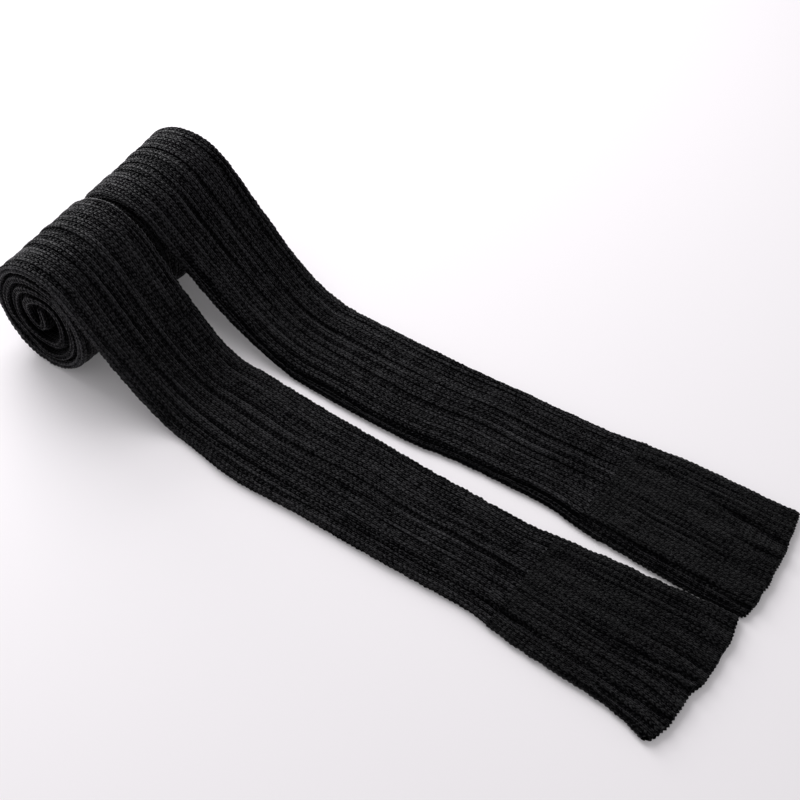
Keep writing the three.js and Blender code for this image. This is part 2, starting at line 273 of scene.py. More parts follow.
def distance_at(warmer, thickness, angle):
    """Distance along the cloth of an angle of the roll, below zero inside the roll."""
    _, along = path_of(warmer, thickness)
    first = CORE_STEPS - 1
    angles = roll_angles(warmer)
    found = along[first:first + len(angles)]
    return float(np.interp(-angle, -angles, found))


def resample(stations, along, rows):
    """Stations at the distances in rows."""
    found = np.column_stack([np.interp(rows, along, column) for column in stations.T])
    found[:, 2:4] /= np.linalg.norm(found[:, 2:4], axis=1)[:, None]
    return found


def cubic(places, values, x):
    """Smooth curve through a table's values."""
    places = np.array(places, float)
    values = np.array(values, float)
    slopes = np.gradient(values, places)
    k = np.clip(np.searchsorted(places, x) - 1, 0, len(places) - 2)
    width = places[k + 1] - places[k]
    t = np.clip((x - places[k]) / width, 0, 1)
    return (
        values[k] * (1 + 2 * t) * (1 - t) ** 2 + slopes[k] * width * t * (1 - t) ** 2
        + values[k + 1] * t * t * (3 - 2 * t) + slopes[k + 1] * width * t * t * (t - 1)
    )


def edges_at(warmer, x):
    """The tube's middle in y and half its width."""
    places = [row[0] for row in warmer["plan"]]
    left = cubic(places, [row[1] for row in warmer["plan"]], x)
    right = cubic(places, [row[2] for row in warmer["plan"]], x)
    return (left + right) / 2, (right - left) / 2


def slow_waves(seed, along, across, length):
    """Gentle unevenness between -1 and 1, the same on each run."""
    draw = np.random.default_rng(seed)
    total = 0
    for _ in range(7):
        turn = draw.uniform(-0.9, 0.9)
        size = length * draw.uniform(0.6, 1.7)
        start = draw.uniform(0, 2 * math.pi)
        total = total + np.sin(2 * math.pi * (along * math.cos(turn)
                                              + across * math.sin(turn) * 1.6) / size + start)
    return total / 4


def crease_depth(warmer, x, y):
    """Depth in mm of all creases at a place in plan."""
    total = np.zeros(np.broadcast(x, y).shape)
    for x0, y0, x1, y1, depth, half in warmer["creases"]:
        length = math.hypot(x1 - x0, y1 - y0)
        run = ((x - x0) * (x1 - x0) + (y - y0) * (y1 - y0)) / length
        side = ((y - y0) * (x1 - x0) - (x - x0) * (y1 - y0)) / length
        fade = smoothstep(run, -12, 14) * (1 - smoothstep(run, length - 14, length + 12))
        total += depth * fade * np.exp(-(side / half) ** 2)
    return total


# Knit

def stitch_height(wale, course):
    """Height of the yarn from 0 to 1. Each wale is a column of Vs, one on the next."""
    side = np.abs(wale - np.floor(wale) - 0.5) * 2
    leg = np.sqrt(np.clip(1 - ((side - LEG_CREST) / LEG_HALF) ** 2, 0, 1))
    step = np.sqrt(0.5 + 0.5 * np.cos(2 * math.pi * (course - SLANT * side)))
    return leg * (1 - COURSE_SHARE + COURSE_SHARE * step)


def rib_groove(seed, wale, along):
    """How far the wale between two ribs is sunk, about 1 at its middle and 0 on the ribs. Some
    grooves are deeper than others."""
    away = np.abs((wale + 1) % WALES_PER_RIB - 1.5)
    which = np.floor((wale + 1) / WALES_PER_RIB).astype(int)
    depth = np.random.default_rng(seed + 40).uniform(0.55, 1.35, 64)[which % 64]
    depth = depth * (1 + 0.3 * slow_waves(seed + 41, along, which * 37.0, 120))
    sunk = 1 - smoothstep(away, 0.05, 0.95)
    low_rib = np.random.default_rng(seed + 42).uniform(0.0, 0.6, 64)[
        np.floor((wale - 0.5) / WALES_PER_RIB).astype(int) % 64]
    return depth * sunk + low_rib * (1 - sunk)


def edge_lines(wales, total):
    """The two lines of stitches along each folded edge of the tube, from 0 to 1. They get a
    painted highlight, and in the rolled layers they also stand out.
    """
    from_edge = np.abs(np.abs(wales) - total / 4)
    return np.exp(-((from_edge - 0.65) / 0.38) ** 2)


def edge_bumps(seed, along, across, courses, face_across):
    """Stitches that stand out along the tube's folded edges, in mm."""
    beads = 0.35 * np.cos(2 * math.pi * courses)
    loose = 0.45 * slow_waves(seed, along, across, 12)
    return (beads + loose) * face_across ** 2


def each_wale(seed, wale):
    """A value for each wale, from -1 to 1."""
    return np.random.default_rng(seed).uniform(-1, 1, 101)[np.floor(wale).astype(int) % 101]


def each_stitch(seed, wale, course):
    """A value for each stitch, from 0 to 1."""
    table = np.random.default_rng(seed).random((97, 89))
    return table[np.floor(wale).astype(int) % 97, np.floor(course).astype(int) % 89]


def ring_columns(wales, fine_half):
    """Places round the tube in wales from the top's middle, closer together on the top side."""
    fine = np.arange(-fine_half * FINE_COLUMNS, fine_half * FINE_COLUMNS) / FINE_COLUMNS
    plain = np.arange(0, (wales / 2 - fine_half) * PLAIN_COLUMNS) / PLAIN_COLUMNS
    return np.concatenate([fine, fine_half + plain, -wales / 2 + plain])


def ring_places(across_half, thickness, share):
    """Across and out, in mm, at shares from -0.5 to 0.5 round the flat tube, and the direction
    in which the cloth faces there."""
    round_half = thickness / 2
    flat = across_half - round_half
    total = 4 * flat + 2 * math.pi * round_half
    reach = np.abs(share) * total
    side = np.sign(share)
    turn = np.clip((reach - flat) / round_half, 0, math.pi)
    under = np.maximum(reach - flat - math.pi * round_half, 0)
    over = np.minimum(reach, flat)
    across = side * (over + round_half * np.sin(turn) - under)
    out = round_half * np.cos(turn)
    return across, out, side * np.sin(turn), np.cos(turn)


def cloth_points(warmer, stations, across, out):
    """Places in the work frame, from distances across and out at each station."""
    x, z, normal_x, normal_z, lift, sway = [stations[:, i:i + 1] for i in range(6)]
    middle, half = edges_at(warmer, x)
    part = across / half
    taper = 1 + warmer["taper"] * part * lift
    height = (z + out * normal_z) * taper - sway * np.where(part > 0, 0.35 * part, part)
    along = warmer["roll_x"] + (x + out * normal_x - warmer["roll_x"]) * taper
    return np.stack([along, middle + across, np.maximum(height, 0)], -1)


def skin_normals(points):
    """Outward normals of a skin from its neighbouring points, rows first."""
    along = np.gradient(points, axis=0)
    across = np.roll(points, -1, axis=1) - np.roll(points, 1, axis=1)
    normals = np.cross(along, across)
    return normals / np.maximum(np.linalg.norm(normals, axis=2, keepdims=True), 1e-9)


def add_mesh(name, points, groups, normals, light):
    """Mesh object from points in the work frame. Each group is faces of one size, with the
    stitch coordinates of each corner. The first is the outer skin, whose normals are given so
    that it runs on smoothly in the next piece. The second is the inner skin, and the rest are
    the rims, which are flat."""
    mesh = bpy.data.meshes.new(name)
    corners = np.concatenate([faces.ravel() for faces, _ in groups])
    sizes = np.concatenate([np.full(len(faces), faces.shape[1]) for faces, _ in groups])
    starts = np.concatenate([[0], np.cumsum(sizes)[:-1]])
    stitches = np.concatenate([places.reshape(-1, 2) for _, places in groups])
    mesh.vertices.add(len(points))
    mesh.vertices.foreach_set("co", ((points + SHIFT) * MM).astype(np.float32).ravel())
    mesh.loops.add(len(corners))
    mesh.loops.foreach_set("vertex_index", corners.astype(np.int32))
    mesh.polygons.add(len(sizes))
    mesh.polygons.foreach_set("loop_start", starts.astype(np.int32))
    smooth = np.concatenate([np.full(len(faces), k < 2) for k, (faces, _) in enumerate(groups)])
    mesh.polygons.foreach_set("use_smooth", smooth)
    layer = mesh.uv_layers.new(name="stitches")
    layer.uv.foreach_set("vector", stitches.astype(np.float32).ravel())
    shade = mesh.attributes.new("light", "FLOAT", "POINT")
    shade.data.foreach_set("value", light.astype(np.float32))
    mesh.update(calc_edges=True)
    if mesh.validate():
        raise RuntimeError(f"{name} had faces that Blender had to mend")
    corner_normals = np.zeros((len(corners), 3))
    skin = groups[0][0].ravel()
    corner_normals[:len(skin)] = normals.reshape(-1, 3)[skin]
    mesh.normals_split_custom_set(corner_normals.tolist())
    piece = bpy.data.objects.new(name, mesh)
    bpy.context.scene.collection.objects.link(piece)
    return piece


def grid_faces(rows, columns, first, inward=False):
    """Quads of a grid that closes on itself sideways, and each corner's row and column."""
    i, j = np.meshgrid(np.arange(rows - 1), np.arange(columns), indexing="ij")
    row = np.stack([i, i + 1, i + 1, i], -1).reshape(-1, 4)
    column = np.stack([j, j, j + 1, j + 1], -1).reshape(-1, 4)
    if inward:
        row = row[:, ::-1]
        column = column[:, ::-1]
    return first + row * columns + column % columns, row, column


def inside_rows_of(count):
    """The rows of the outer skin that the inner skin has too, always with the last."""
    return np.unique(np.append(np.arange(0, count, INSIDE_ROWS), count - 1))


def wall_mesh(name, outer, inner, wale, course, total, inner_rows, normals, light):
    """Closed wall of cloth: a fine outer skin, a plainer inner skin with every few of its
    columns and rows, and a rim at each end."""
    rows, columns = outer.shape[:2]
    inner_columns = inner.shape[1]
    points = np.concatenate([outer.reshape(-1, 3), inner.reshape(-1, 3)])
    wale = np.column_stack([wale, wale[:, 0] + total])
    course = np.column_stack([course, course[:, 0]])
    faces, row, column = grid_faces(rows, columns, 0)
    groups = [(faces, np.stack([wale[row, column], course[row, column]], -1))]
    base = rows * columns
    faces, row, column = grid_faces(len(inner_rows), inner_columns, base, inward=True)
    near = (inner_rows[row], np.minimum(column * INSIDE_COLUMNS, columns))
    groups.append((faces, np.stack([wale[near], course[near]], -1)))
    for outer_row, inner_row in ((0, 0), (rows - 1, len(inner_rows) - 1)):
        by_size = {}
        for k in range(inner_columns):
            low = k * INSIDE_COLUMNS
            high = min(low + INSIDE_COLUMNS, columns)
            outer_part = [outer_row * columns + j % columns for j in range(low, high + 1)]
            inner_part = [base + inner_row * inner_columns + (k + 1) % inner_columns,
                          base + inner_row * inner_columns + k]
            face = outer_part + inner_part
            near = [*range(low, high + 1), high, low]
            pairs = [(wale[outer_row, j], course[outer_row, j]) for j in near]
            if outer_row:
                face = face[::-1]
                pairs = pairs[::-1]
            entry = by_size.setdefault(len(face), ([], []))
            entry[0].append(face)
            entry[1].append(pairs)
        for face_list, pair_list in by_size.values():
            groups.append((np.array(face_list), np.array(pair_list)))
    light = np.concatenate([light.ravel(), np.zeros(inner.shape[0] * inner_columns)])
    return add_mesh(name, points, groups, normals, light)


def leg_piece(sizes, warmer, name, start, end):
    """A stretch of the ribbed tube between two distances along the cloth."""
    thickness = sizes.leg_thickness / MM
    course = sizes.course_length / MM
    total = RIBS_ROUND * WALES_PER_RIB
    stations, along = path_of(warmer, thickness)
    step = course / ROWS_PER_COURSE
    rows = np.arange(math.floor(start / step) + 1, math.ceil(end / step)) * step
    rows = np.concatenate([[start], rows[(rows > start + 0.2) & (rows < end - 0.2)], [end]])
    # One more row beyond each end, for the normals alone
    rows = np.concatenate([[start - step], rows, [end + step]])
    place = resample(stations, along, rows)
    wales = ring_columns(total, LEG_FINE_HALF)
    share = (wales / total)[None, :]
    middle, half = edges_at(warmer, place[:, :1])
    across, out, face_across, face_out = ring_places(half, place[:, 6:7], share)
    seed = warmer["seed"]
    wander = 0.3 * slow_waves(seed, rows[:, None], across, 90)
    wale = wales[None, :] + RIB_START + wander
    courses = (rows / course)[:, None] + 0.2 * slow_waves(
        seed + 1, rows[:, None], across, 70) + 0.32 * each_wale(seed + 7, wale)
    near_seam = 1 - smoothstep(place[:, :1], warmer["seam"] - 20, warmer["seam"] + 5)
    rib = sizes.rib_depth / MM * near_seam
    yarn = sizes.stitch_relief / MM * (0.8 + 0.4 * each_stitch(seed, wale, courses))
    groove = rib_groove(seed, wale, rows[:, None])
    relief = -rib * groove - yarn * (1 - stitch_height(wale, courses))
    relief = relief + 0.15 * each_wale(seed + 8, wale)
    relief = relief + edge_bumps(seed + 20, rows[:, None], across, courses, face_across)
    flatness = smoothstep(face_out, -0.2, 0.9)
    uneven = 0.45 * slow_waves(seed + 2, rows[:, None], across, 60) * flatness
    # Creases lie on the top side, and none on the roll itself
    crease = crease_depth(warmer, place[:, :1], middle + across) * (place[:, 4:5] < 0.99)
    crease = crease * (face_out > -0.5)
    fold = crease * flatness
    push = relief + uneven - fold
    outer = cloth_points(warmer, place, across + push * face_across, out + push * face_out)
    normals = skin_normals(outer)
    if end > float(along[-1]) - 0.1:
        # The stations end at the seam, so the last row takes the normals of the row before it
        normals[-2] = normals[-3]
    kept = slice(1, -1)
    outer, normals, wale, courses = [values[kept] for values in (outer, normals, wale, courses)]
    place, half, fold, crease = [values[kept] for values in (place, half, fold, crease)]
    inner_rows = inside_rows_of(len(place))
    picked = np.arange(0, len(wales), INSIDE_COLUMNS)
    lining = place[inner_rows]
    wall = (lining[:, 6:7] - SLIT) / 2
    inside = ring_places(half[inner_rows] - wall, np.full_like(wall, SLIT), share[:, picked])
    give = np.clip(fold[inner_rows][:, picked], 0, 0.8 * SLIT) * (inside[3] > 0)
    inner = cloth_points(warmer, lining, inside[0], inside[1] - give)
    # Painted shade in the creases and a painted highlight on the lines along the folded edges of
    # the roll and fall, which the material reads from the light attribute
    light = CREASE_PAINTED_SHADE * crease + EDGE_PAINTED_HIGHLIGHT * np.minimum(place[:, 4:5], 1) * edge_lines(
        wales[None, :], total)
    return wall_mesh(name, outer, inner, wale, courses, total, inner_rows, normals, light)


def finish_piece(piece, material, node):
    piece.data.materials.append(material)
    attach(piece, "root")
    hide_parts(node)


# Materials

def linear(code):
    """Linear colour from an sRGB hex code."""
    parts = [int(code[i:i + 2], 16) / 255 for i in (1, 3, 5)]
    return tuple(
        part / 12.92 if part <= 0.04045 else ((part + 0.055) / 1.055) ** 2.4 for part in parts
    ) + (1.0,)


def add_node(material, kind, settings=None, links=None):
    """Adds a node. Settings are its properties, and links give each input a value or a socket."""
    tree = material.node_tree
    node = tree.nodes.new(kind)
    for key, value in (settings or {}).items():
        setattr(node, key, value)
    for key, value in (links or {}).items():
        if isinstance(value, bpy.types.NodeSocket):
            tree.links.new(value, node.inputs[key])
        else:
            node.inputs[key].default_value = value
    return node


def new_material(name):
    material = bpy.data.materials.new(name)
    material.use_nodes = True
    material.node_tree.nodes.clear()
    return material


def maths(material, operation, *values):
    """Output of a maths node on values or sockets."""
    node = add_node(material, "ShaderNodeMath", {"operation": operation},
                    dict(enumerate(values)))
    return node.outputs[0]


def knit_material(name, yarn, gap, ribbed, relief_mm, shine):
    """Knitted acrylic and wool yarn, dyed charcoal black. The eye sees soft dark cloth with
    darker gaps between the stitches, painted shade on top of the relief's own, a dull gleam along
    the yarn, painted weaker in that shade, and a light bloom of fibres where the cloth is seen
    edge on."""
    m = new_material(name)
    uv = add_node(m, "ShaderNodeUVMap", {"uv_map": "stitches"})
    parts = add_node(m, "ShaderNodeSeparateXYZ", links={0: uv.outputs[0]})
    wale, course = parts.outputs[0], parts.outputs[1]
    where = add_node(m, "ShaderNodeTexCoord").outputs["Object"]
    # Slow wander of the yarn, a few stitches long
    wander = add_node(m, "ShaderNodeTexNoise", {"noise_dimensions": "3D"},
                      {"Vector": where, "Scale": 1 / (4 * MM), "Detail": 1.0})
    shift = maths(m, "MULTIPLY_ADD", wander.outputs[0], 0.24, -0.12)
    wale = maths(m, "ADD", wale, shift)
    course = maths(m, "ADD", course, shift)
    side = maths(m, "ABSOLUTE", maths(m, "SUBTRACT", maths(m, "FRACT", wale), 0.5))
    side = maths(m, "MULTIPLY", side, 2.0)
    off = maths(m, "MULTIPLY_ADD", side, 1 / LEG_HALF, -LEG_CREST / LEG_HALF)
    leg = maths(m, "SQRT", maths(m, "MAXIMUM", maths(
        m, "SUBTRACT", 1.0, maths(m, "MULTIPLY", off, off)), 0.0))
    phase = maths(m, "SUBTRACT", course, maths(m, "MULTIPLY", side, SLANT))
    wave = maths(m, "COSINE", maths(m, "MULTIPLY", phase, 2 * math.pi))
    step = maths(m, "SQRT", maths(m, "MULTIPLY_ADD", wave, 0.5, 0.5))
    stitch = maths(m, "MULTIPLY", leg, maths(
        m, "MULTIPLY_ADD", step, COURSE_SHARE, 1 - COURSE_SHARE))
    # Plies and loose fibres of the yarn, about a millimetre
    fibre = add_node(m, "ShaderNodeTexNoise", {"noise_dimensions": "3D"},
                     {"Vector": where, "Scale": 1 / (1.05 * MM), "Detail": 2.0, "Roughness": 0.6})
    # One lightness for each stitch, from its place in the grid
    cell = add_node(m, "ShaderNodeCombineXYZ", links={
        0: maths(m, "FLOOR", wale), 1: maths(m, "FLOOR", phase)})
    each = add_node(m, "ShaderNodeTexWhiteNoise", {"noise_dimensions": "2D"},
                    {"Vector": cell.outputs[0]})
    # Painted shade: the lightness is lower in the gaps between the stitches, plus a random tone
    # for each stitch
    lightness = maths(m, "MULTIPLY_ADD", each.outputs[0], 0.35, maths(
        m, "MULTIPLY_ADD", stitch, 1.6, -1.0))
    # Whole wales are lighter or darker for a hand's breadth
    strand = add_node(m, "ShaderNodeCombineXYZ", links={
        0: maths(m, "MULTIPLY", maths(m, "FLOOR", wale), 7.3),
        1: maths(m, "MULTIPLY", course, 0.035)})
    streak = add_node(m, "ShaderNodeTexNoise", {"noise_dimensions": "2D"},
                      {"Vector": strand.outputs[0], "Scale": 1.0, "Detail": 1.0})
    lightness = maths(m, "ADD", lightness, maths(m, "MULTIPLY_ADD", streak.outputs[0], 1.4, -0.7))
    lightness = maths(m, "ADD", lightness, maths(m, "MULTIPLY_ADD", fibre.outputs[0], 4.0, -2.0))
    # Painted shade in creases, on the rolled layers and in the furrows between them, and painted
    # highlights on folded edges and ridges, from the shape
    shade = add_node(m, "ShaderNodeAttribute", {"attribute_name": "light"})
    lightness = maths(m, "ADD", lightness, shade.outputs["Fac"])
    # Painted shade: the sunk wale between two ribs is painted darker
    if ribbed:
        away = maths(m, "ABSOLUTE", maths(m, "SUBTRACT", maths(
            m, "FLOORED_MODULO", maths(m, "ADD", wale, 1.0), float(WALES_PER_RIB)), 1.5))
        groove = add_node(m, "ShaderNodeMapRange", {"interpolation_type": "SMOOTHSTEP"}, {
            "Value": away, "From Min": 0.1, "From Max": 1.0, "To Min": 0.35, "To Max": 0.0})
        lightness = maths(m, "SUBTRACT", lightness, groove.outputs[0])
    # The colour runs from the painted gap shade to the yarn's with the lightness, and the gleam
    # is painted weaker with it
    colour = add_node(m, "ShaderNodeMix", {"data_type": "RGBA"}, {
        0: maths(m, "MULTIPLY", lightness, 0.65), 6: linear(gap), 7: linear(yarn)})
    height = maths(m, "ADD", stitch, maths(m, "MULTIPLY", fibre.outputs[0], 0.5))
    bump = add_node(m, "ShaderNodeBump", links={
        "Strength": 1.0, "Distance": relief_mm * MM, "Height": height})
    shader = add_node(m, "ShaderNodeBsdfPrincipled", links={
        "Base Color": colour.outputs[2], "Roughness": 0.45, "IOR": 1.5,
        "Specular IOR Level": maths(m, "MULTIPLY", maths(m, "MAXIMUM", maths(
            m, "MINIMUM", lightness, 1.5), 0.0), shine),
        "Sheen Weight": 0.11, "Sheen Roughness": 0.25, "Sheen Tint": (0.9, 0.88, 0.94, 1.0),
        "Normal": bump.outputs[0]})
    add_node(m, "ShaderNodeOutputMaterial", links={0: shader.outputs[0]})
    return m


def material_for(context, kind):
    name = {"rib": "Charcoal black ribbed knit, acrylic and wool",
            "cuff": "Charcoal black plain knit, acrylic and wool"}[kind]
    found = bpy.data.materials.get(name)
    if found:
        return found
    colours = context.scene.leg_warmers
    # The cuff's darker yarn colour holds painted shade for the light falling off toward the cuffs
    yarn = colours.rib_yarn if kind == "rib" else colours.cuff_yarn_and_shade
    if kind == "rib":
        return knit_material(name, yarn, colours.gap, True, 0.9, 0.26)
    return knit_material(name, yarn, colours.gap, False, 0.6, 0.16)


# Sizes and colours that a user would change

class LegWarmerSettings(bpy.types.PropertyGroup):
    leg_thickness: bpy.props.FloatProperty(
        name="Leg thickness", description="Flat tube of two ribbed walls",
        default=8.5 * MM, subtype="DISTANCE", unit="LENGTH")
    course_length: bpy.props.FloatProperty(
        name="Course length", description="Length of one stitch of the ribbed leg",
        default=4.0 * MM, subtype="DISTANCE", unit="LENGTH")
    cuff_course: bpy.props.FloatProperty(
        name="Cuff course length", description="Length of one stitch of the cuff",
        default=3.85 * MM, subtype="DISTANCE", unit="LENGTH")
    rib_depth: bpy.props.FloatProperty(
        name="Rib depth", description="How far the wale between two ribs is sunk",
        default=1.3 * MM, subtype="DISTANCE", unit="LENGTH")
    stitch_relief: bpy.props.FloatProperty(
        name="Stitch relief", description="Depth between the stitches",
        default=1.1 * MM, subtype="DISTANCE", unit="LENGTH")
    rib_yarn: bpy.props.StringProperty(
        name="Leg yarn", description="Colour of the leg's yarn, sRGB", default="#1f1e23")
    # The cuff's yarn is the leg's, set darker: painted shade for the light that falls off toward
    # the cuffs
    cuff_yarn_and_shade: bpy.props.StringProperty(
        name="Cuff yarn", description="Colour of the cuff's yarn, sRGB", default="#171719")
    # Painted shade: the colour the yarn is painted in the gaps between the stitches
    gap: bpy.props.StringProperty(
        name="Gaps", description="Colour between the stitches, sRGB", default="#040405")


class StageSettings(bpy.types.PropertyGroup):
    floor: bpy.props.StringProperty(
        name="Floor", description="Colour of the surface, sRGB", default="#ece8ec")
    # Painted light: the surface's glow keeps the shadows on it pale
    glow: bpy.props.FloatProperty(
        name="Table glow", description="Light that comes up through the surface", default=0.085)
    sky: bpy.props.FloatProperty(
        name="Room light", description="Strength of the light from all sides", default=0.46)
    lamp: bpy.props.FloatProperty(
        name="Window light", description="Power of the large soft lamp", default=22.0,
        unit="POWER")
    low_lamp: bpy.props.FloatProperty(
        name="Low light", description="Power of the lamp that grazes the rolls", default=9.5,
        unit="POWER")


class LEGWARMERS_OT_stage(bpy.types.Operator):
    """Pale surface, soft light and the camera"""
    bl_idname = "leg_warmers.stage"
    bl_label = "Stage, light and camera"

    def execute(self, context):
        settings = context.scene.leg_warmer_stage
        scene = context.scene
        scene.view_settings.view_transform = "Standard"
        scene.view_settings.look = "None"

        reach = 12.0  # metres, so that no edge shows
        mesh = bpy.data.meshes.new("floor")
        mesh.from_pydata([(-reach, -reach, 0), (reach, -reach, 0), (reach, reach, 0),
                          (-reach, reach, 0)], [], [(0, 1, 2, 3)])
        floor = bpy.data.objects.new("floor", mesh)
        floor.location.z = -0.2 * MM  # just below the cloth's flat underside
        scene.collection.objects.link(floor)
        # The surface glows a little, painted light that keeps the shadows on it pale
        table = new_material("White surface, matt, with a painted glow")
        shader = add_node(table, "ShaderNodeBsdfPrincipled", links={
            "Base Color": linear(settings.floor), "Roughness": 0.9, "Specular IOR Level": 0.1,
            "Emission Color": linear("#fffdff"), "Emission Strength": settings.glow})
        add_node(table, "ShaderNodeOutputMaterial", links={0: shader.outputs[0]})
        mesh.materials.append(table)

        world = bpy.data.worlds.new("Soft white room")
        world.use_nodes = True
        background = world.node_tree.nodes["Background"]
        background.inputs[0].default_value = (1.0, 1.0, 1.0, 1.0)
        background.inputs[1].default_value = settings.sky
        scene.world = world

        for name, size, power, place in (
                ("window", 1.3, settings.lamp, (-1.1, 0.42, 1.3)),
                ("low_panel", 0.7, settings.low_lamp, (-1.3, 0.5, 0.5))):
            lamp_data = bpy.data.lights.new(name, "AREA")
            lamp_data.shape = "SQUARE"
            lamp_data.size = size
            lamp_data.energy = power
            lamp = bpy.data.objects.new(name, lamp_data)
            lamp.matrix_world = facing(place, -np.array(place), (0, 0, 1))
            scene.collection.objects.link(lamp)

        camera_data = bpy.data.cameras.new("camera")
        camera_data.sensor_width = CAMERA_SENSOR
        camera_data.lens = CAMERA_LENS
        camera = bpy.data.objects.new("camera", camera_data)
        yaw = math.radians(CAMERA_YAW)
        pitch = math.radians(CAMERA_PITCH)
        ahead = (math.cos(yaw) * math.cos(pitch), math.sin(yaw) * math.cos(pitch),
                 -math.sin(pitch))
        camera.matrix_world = facing(CAMERA_PLACE, ahead, (0, 0, 1))
        scene.collection.objects.link(camera)
        scene.camera = camera
        return {"FINISHED"}


def facing(place, ahead, up):
    """World matrix of a camera or lamp at a place, looking ahead."""
    ahead = np.array(ahead, float) / np.linalg.norm(ahead)
    right = np.cross(ahead, up)
    right /= np.linalg.norm(right)
    above = np.cross(right, ahead)
    return Matrix([
        (right[0], above[0], -ahead[0], place[0]),
        (right[1], above[1], -ahead[1], place[1]),
        (right[2], above[2], -ahead[2], place[2]),
        (0, 0, 0, 1),
    ])


class LEGWARMERS_OT_legs(bpy.types.Operator):
    """Ribbed tubes from the roll's top to the cuff's seam"""
    bl_idname = "leg_warmers.legs"
    bl_label = "Ribbed legs"

    def execute(self, context):
        sizes = context.scene.leg_warmers
        for warmer in (NEAR, FAR):
            name = warmer["name"]
            _, along = path_of(warmer, sizes.leg_thickness / MM)
            end = float(along[-1])
            piece = leg_piece(sizes, warmer, f"{name}_ribbed_leg", 0.0, end)
            finish_piece(piece, material_for(context, "rib"), f"{name}_leg")
        return {"FINISHED"}


class LEGWARMERS_OT_turns(bpy.types.Operator):
    """The turn of each ribbed tube that shows round its roll"""
    bl_idname = "leg_warmers.turns"
    bl_label = "Outer turns of the rolls"

    def execute(self, context):
        sizes = context.scene.leg_warmers
        for warmer in (NEAR, FAR):
            name = warmer["name"]
            start = distance_at(warmer, sizes.leg_thickness / MM, TURN_END)
            piece = leg_piece(sizes, warmer, f"{name}_rolled_turn", start, 0.0)
            finish_piece(piece, material_for(context, "rib"), f"{name}_outer_turn")
        return {"FINISHED"}


class LEGWARMERS_OT_cores(bpy.types.Operator):
    """The layers rolled up inside, with their folded edges and the two holes between them"""
    bl_idname = "leg_warmers.cores"
    bl_label = "Rolled layers"

    def execute(self, context):
        sizes = context.scene.leg_warmers
        thickness = sizes.leg_thickness / MM
        course = sizes.course_length / MM
        total = RIBS_ROUND * WALES_PER_RIB
        for warmer in (NEAR, FAR):
            name = warmer["name"]
            stations, along = path_of(warmer, thickness)
            start = float(along[0])
            end = distance_at(warmer, thickness, TURN_END)
            step = course / ROWS_PER_COURSE
            rows = np.linspace(start, end, int((end - start) / step))
            place = resample(stations, along, rows)
            # Only the folded edges show at the roll's ends, so the columns crowd there
            fine = EDGE_HALF * EDGE_COLUMNS
            edge = np.arange(-fine, fine + 1) / EDGE_COLUMNS
            centre = total / 4
            wales = np.concatenate([
                np.linspace(-centre + EDGE_HALF, centre - EDGE_HALF, 8)[1:-1],
                centre + edge,
                np.linspace(centre + EDGE_HALF, total / 2, 5)[1:-1],
                np.linspace(-total / 2, -centre - EDGE_HALF, 5)[:-1],
                -centre + edge,
            ])
            share = (wales / total)[None, :]
            _, half = edges_at(warmer, place[:, :1])
            inward = CORE_RECESS * (end - rows[:, None]) / CORE_RECESS_RUN
            inward = inward + 1.5 * slow_waves(warmer["seed"] + 5, rows[:, None], 0.0, 60)
            tip = smoothstep(-rows[:, None], -start - 40, -start)
            inward = np.maximum(inward, 0.0) + 2.5 * tip
            across, out, face_across, face_out = ring_places(
                half - inward, place[:, 6:7], share)
            wale = wales[None, :] + RIB_START + 0 * rows[:, None]
            courses = (rows / course)[:, None] + 0 * share
            yarn = 0.45 * sizes.stitch_relief / MM
            from_edge = np.abs(np.abs(wales) - centre)[None, :]
            line = edge_lines(wales[None, :], total) + 0 * rows[:, None]
            # Painted shade: the layers are painted darker, most in the furrows between them, and
            # the lines along their folded edges get a painted highlight
            light = EDGE_PAINTED_HIGHLIGHT * line - 0.5 - 1.2 * smoothstep(from_edge, 1.0, 1.7)
            push = CORE_GROOVE * (line - 1) - yarn * (1 - stitch_height(wale, courses))
            outer = cloth_points(warmer, place, across + push * face_across,
                                 out + push * face_out)
            inner_rows = inside_rows_of(len(rows))
            lining = place[inner_rows]
            wall = (lining[:, 6:7] - SLIT) / 2
            picked = np.arange(0, len(wales), INSIDE_COLUMNS)
            inside = ring_places((half - inward)[inner_rows] - wall,
                                 np.full_like(wall, SLIT), share[:, picked])
            inner = cloth_points(warmer, lining, inside[0], inside[1])
            piece = wall_mesh(f"{name}_rolled_layers", outer, inner, wale, courses, total,
                              inner_rows, skin_normals(outer), light)
            finish_piece(piece, material_for(context, "rib"), f"{name}_roll_core")
        return {"FINISHED"}


def mouth_reach(warmer, part, side):
    """How far the cuff reaches beyond its plain end, from the share of its length and the side,
    -1 to 1. The mouth's corners are rounded."""
    left, centre, right = warmer["mouth"]
    reach = part ** 2 * (
        centre + (right - left) / 2 * side + ((right + left) / 2 - centre) * side ** 2)
    for where, wide, far in warmer["bulges"]:
        reach = reach + far * part ** 6 * np.exp(-((side - where) / wide) ** 2)
    corner = np.where(side < 0, warmer["corners"][0], warmer["corners"][1])
    return reach - corner * part ** 8 * smoothstep(np.abs(side), 0.86, 1.0) ** 2


